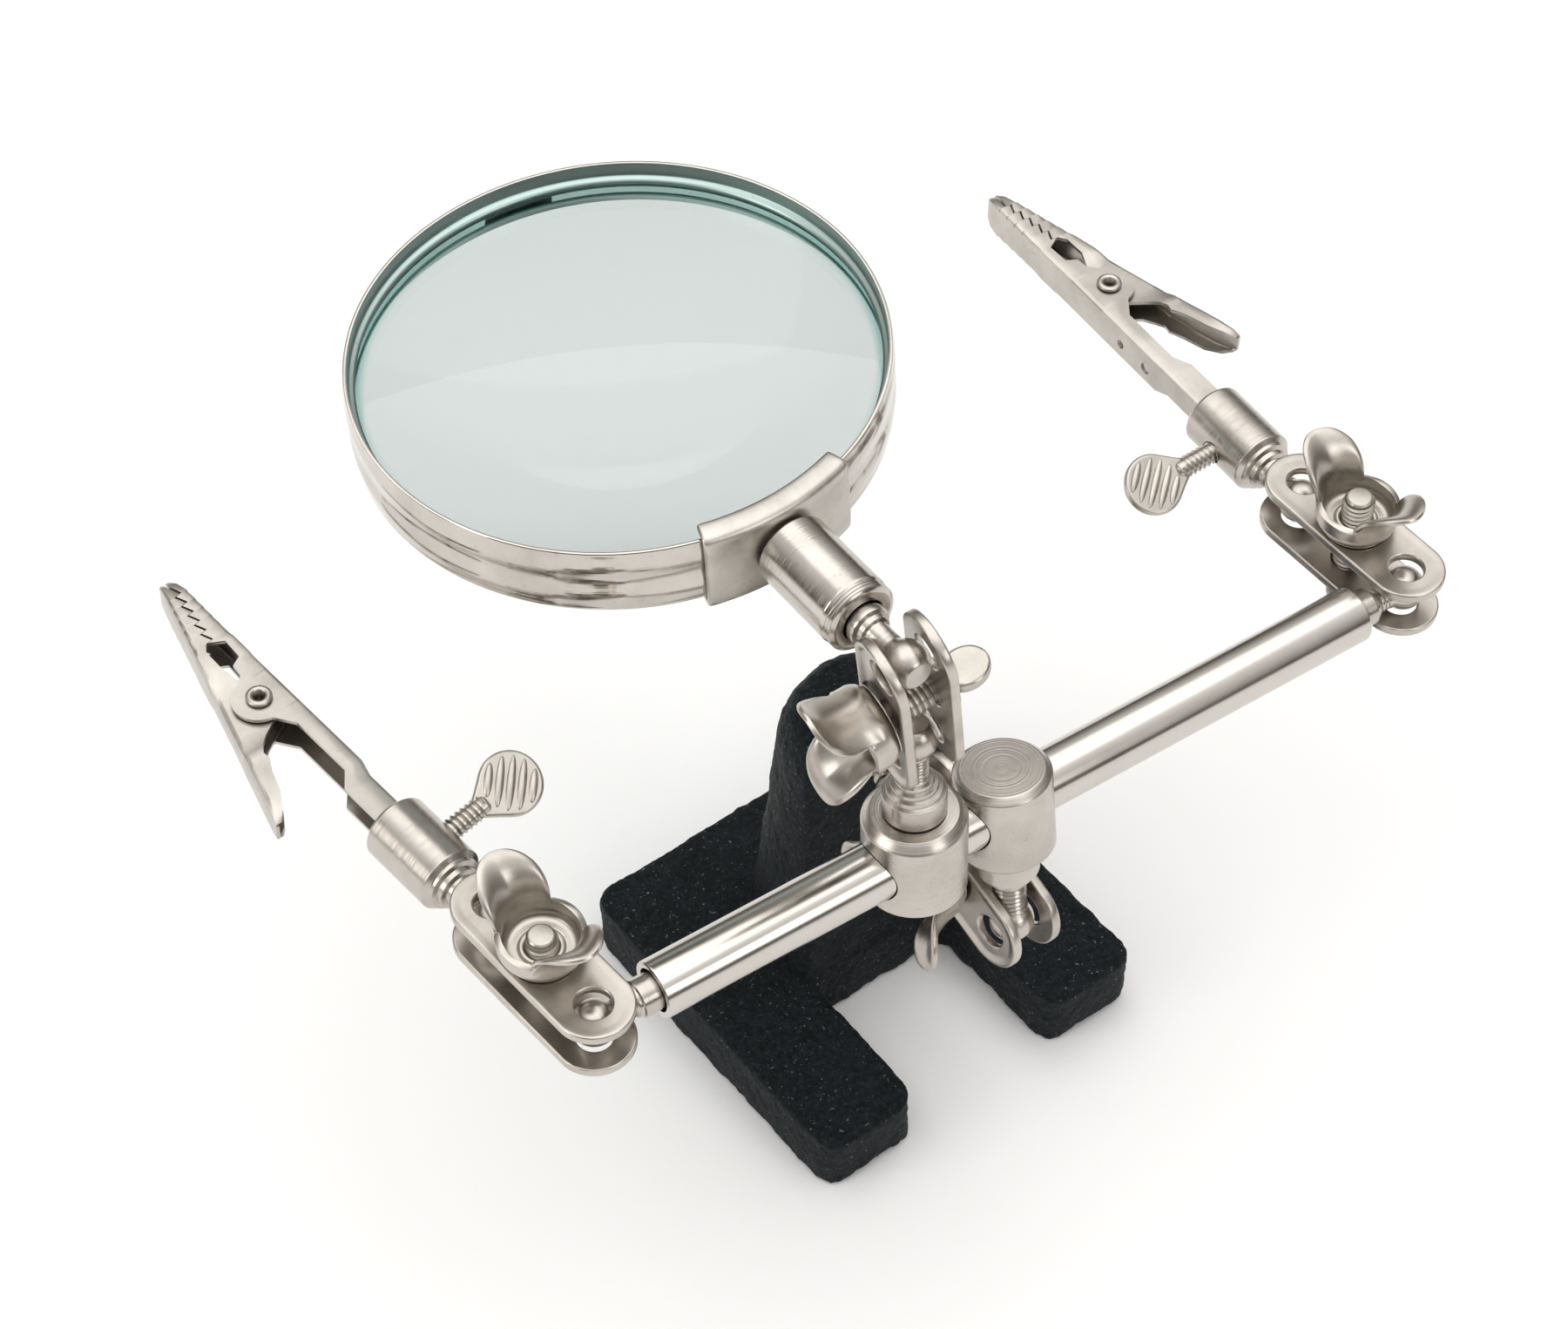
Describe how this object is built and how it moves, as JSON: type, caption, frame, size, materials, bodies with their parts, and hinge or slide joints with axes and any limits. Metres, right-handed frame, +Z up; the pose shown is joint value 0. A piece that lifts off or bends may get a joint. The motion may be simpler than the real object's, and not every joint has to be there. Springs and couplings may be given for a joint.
{
  "type": "helping hands clamp",
  "caption": "Weighted cast base with a cross rod on adjustable ball joints, carrying a round magnifier and spring clips that hold small work while soldering.",
  "frame": {"origin": "middle of the base's footprint, on its underside", "axes": "+Z up, +X along the base's crossbar and the cross rod, -Y along the base's two legs"},
  "size_m": [0.1394, 0.0928, 0.098],
  "materials": {
    "cast_base": "rough black paint on cast iron",
    "turned_plate": "fine-turned satin nickel plate",
    "pressed_plate": "satin nickel plate on pressed sheet",
    "bright_plate": "bright nickel plate",
    "plated_bolt": "dull nickel plate on threaded steel",
    "spring_wire": "drawn spring steel",
    "lens_glass": "clear polished glass, pale green edge"
  },
  "bodies": {
    "base": {"base": "cast_base"},
    "lower_stud": {"base_ball_stud": "turned_plate"},
    "lower_joint": {"lower_joint_plate_outer": "pressed_plate", "lower_joint_plate_inner": "pressed_plate", "lower_joint_bolt": "plated_bolt"},
    "lower_wing_nut": {"lower_joint_wing_nut": "pressed_plate"},
    "base_collar_stud": {"base_collar_stud": "turned_plate"},
    "base_collar": {"base_collar": "turned_plate"},
    "rod": {"rod_tube": "bright_plate"},
    "magnifier_collar": {"magnifier_collar": "turned_plate"},
    "magnifier_collar_stud": {"magnifier_collar_stud": "turned_plate"},
    "magnifier_joint": {"magnifier_joint_plate_outer": "pressed_plate", "magnifier_joint_plate_inner": "pressed_plate", "magnifier_joint_bolt": "plated_bolt"},
    "magnifier_wing_nut": {"magnifier_joint_wing_nut": "pressed_plate"},
    "handle_stud": {"handle_stud": "turned_plate"},
    "magnifier": {"magnifier_rim": "bright_plate", "magnifier_lens": "lens_glass", "rim_bracket": "pressed_plate", "handle_tube": "turned_plate"},
    "left_rod_stud": {"left_rod_stud": "turned_plate"},
    "left_joint": {"left_joint_plate_outer": "pressed_plate", "left_joint_plate_inner": "pressed_plate", "left_joint_bolt": "plated_bolt"},
    "left_wing_nut": {"left_joint_wing_nut": "pressed_plate"},
    "left_socket": {"left_clip_socket": "turned_plate"},
    "left_thumb_screw": {"left_thumb_screw": "turned_plate"},
    "left_clip": {"left_clip_fixed_jaw": "pressed_plate", "left_clip_rivet": "pressed_plate", "left_clip_spring": "spring_wire"},
    "left_moving_jaw": {"left_clip_moving_jaw": "pressed_plate"},
    "right_rod_stud": {"right_rod_stud": "turned_plate"},
    "right_joint": {"right_joint_plate_outer": "pressed_plate", "right_joint_plate_inner": "pressed_plate", "right_joint_bolt": "plated_bolt"},
    "right_wing_nut": {"right_joint_wing_nut": "pressed_plate"},
    "right_socket": {"right_clip_socket": "turned_plate"},
    "right_thumb_screw": {"right_thumb_screw": "turned_plate"},
    "right_clip": {"right_clip_fixed_jaw": "pressed_plate", "right_clip_rivet": "pressed_plate", "right_clip_spring": "spring_wire"},
    "right_moving_jaw": {"right_clip_moving_jaw": "pressed_plate"}
  },
  "joints": [
    {"name": "lower_stud_twist", "type": "hinge", "parent": "base", "child": "lower_stud", "pos_m": [0, -0.0007, 0.0441], "axis": [0, -1, 0], "range_deg": [-30, 30]},
    {"name": "lower_swing", "type": "hinge", "parent": "lower_stud", "child": "lower_joint", "pos_m": [0, -0.0097, 0.0441], "axis": [-0.9982, -0.02, 0.057], "range_deg": [-20, 20]},
    {"name": "lower_nut_turn", "type": "hinge", "parent": "lower_joint", "child": "lower_wing_nut", "pos_m": [0, -0.01801, 0.04114], "axis": [-0.9982, -0.02, 0.057], "continuous": true},
    {"name": "base_collar_tilt", "type": "hinge", "parent": "lower_joint", "child": "base_collar_stud", "pos_m": [0, -0.02632, 0.03817], "axis": [-0.9982, -0.02, 0.057], "range_deg": [-30, 8]},
    {"name": "base_collar_swivel", "type": "hinge", "parent": "base_collar_stud", "child": "base_collar", "pos_m": [0.00022, -0.02307, 0.05668], "axis": [-0.0115, -0.1733, -0.9848], "range_deg": [-25, 25]},
    {"name": "rod_slide", "type": "slide", "parent": "base_collar", "child": "rod", "axis": [0.9978, -0.0663, 0], "range_m": [-0.03, 0]},
    {"name": "magnifier_collar_slide", "type": "slide", "parent": "rod", "child": "magnifier_collar", "axis": [-0.9978, 0.0663, 0], "range_m": [0, 0.024]},
    {"name": "magnifier_stud_twist", "type": "hinge", "parent": "magnifier_collar", "child": "magnifier_collar_stud", "pos_m": [-0.01217, -0.02175, 0.06367], "axis": [0.0046, 0.0696, 0.9976], "range_deg": [-40, 40]},
    {"name": "magnifier_swing", "type": "hinge", "parent": "magnifier_collar_stud", "child": "magnifier_joint", "pos_m": [-0.01212, -0.02093, 0.07544], "axis": [-0.9712, 0.1334, -0.1976], "range_deg": [-25, 5]},
    {"name": "magnifier_nut_turn", "type": "hinge", "parent": "magnifier_joint", "child": "magnifier_wing_nut", "pos_m": [-0.01402, -0.02208, 0.08398], "axis": [-0.9712, 0.1334, -0.1976], "continuous": true},
    {"name": "handle_tilt", "type": "hinge", "parent": "magnifier_joint", "child": "handle_stud", "pos_m": [-0.01591, -0.02323, 0.09252], "axis": [-0.9712, 0.1334, -0.1976], "range_deg": [-35, 8]},
    {"name": "magnifier_twist", "type": "hinge", "parent": "handle_stud", "child": "magnifier", "pos_m": [-0.01567, -0.01623, 0.09234], "axis": [0.035, 0.999, -0.026], "range_deg": [-30, 30]},
    {"name": "left_rod_stud_twist", "type": "hinge", "parent": "rod", "child": "left_rod_stud", "pos_m": [-0.04703, -0.01993, 0.05668], "axis": [-0.9978, 0.0663, 0], "range_deg": [-30, 30]},
    {"name": "left_swing", "type": "hinge", "parent": "left_rod_stud", "child": "left_joint", "pos_m": [-0.05461, -0.01943, 0.05668], "axis": [0, 0, 1], "range_deg": [-15, 30]},
    {"name": "left_nut_turn", "type": "hinge", "parent": "left_joint", "child": "left_wing_nut", "pos_m": [-0.05504, -0.01061, 0.05668], "axis": [0, 0, 1], "continuous": true},
    {"name": "left_socket_tilt", "type": "hinge", "parent": "left_joint", "child": "left_socket", "pos_m": [-0.05546, -0.0018, 0.05668], "axis": [0, 0, 1], "range_deg": [-25, 40]},
    {"name": "left_screw_turn", "type": "hinge", "parent": "left_socket", "child": "left_thumb_screw", "pos_m": [-0.05628, 0.01078, 0.05668], "axis": [0.9854, 0.0642, 0.158], "continuous": true},
    {"name": "left_clip_twist", "type": "hinge", "parent": "left_socket", "child": "left_clip", "pos_m": [-0.05621, 0.00968, 0.05668], "axis": [-0.065, 0.9979, 0], "range_deg": [-90, 90]},
    {"name": "left_jaw_open", "type": "hinge", "parent": "left_clip", "child": "left_moving_jaw", "pos_m": [-0.05947, 0.03903, 0.05668], "axis": [0, 0, 1], "range_deg": [0, 20], "stiffness_Nm_per_rad": 0.05, "springref_deg": -20.05, "deforming": ["left_clip_spring"]},
    {"name": "right_rod_stud_twist", "type": "hinge", "parent": "rod", "child": "right_rod_stud", "pos_m": [0.05145, -0.02647, 0.05668], "axis": [0.9978, -0.0663, 0], "range_deg": [-30, 30]},
    {"name": "right_swing", "type": "hinge", "parent": "right_rod_stud", "child": "right_joint", "pos_m": [0.05904, -0.02697, 0.05668], "axis": [0, 0, 1], "range_deg": [-30, 15]},
    {"name": "right_nut_turn", "type": "hinge", "parent": "right_joint", "child": "right_wing_nut", "pos_m": [0.05901, -0.01815, 0.05668], "axis": [0, 0, 1], "continuous": true},
    {"name": "right_socket_tilt", "type": "hinge", "parent": "right_joint", "child": "right_socket", "pos_m": [0.05898, -0.00932, 0.05668], "axis": [0, 0, 1], "range_deg": [-40, 25]},
    {"name": "right_screw_turn", "type": "hinge", "parent": "right_socket", "child": "right_thumb_screw", "pos_m": [0.05993, 0.00324, 0.05668], "axis": [-0.994, 0.0748, -0.0798], "continuous": true},
    {"name": "right_clip_twist", "type": "hinge", "parent": "right_socket", "child": "right_clip", "pos_m": [0.05985, 0.00214, 0.05668], "axis": [0.075, 0.9972, 0], "range_deg": [-90, 90]},
    {"name": "right_jaw_open", "type": "hinge", "parent": "right_clip", "child": "right_moving_jaw", "pos_m": [0.06341, 0.03146, 0.05668], "axis": [0, 0, -1], "range_deg": [0, 20], "stiffness_Nm_per_rad": 0.05, "springref_deg": -20.05, "deforming": ["right_clip_spring"]}
  ]
}
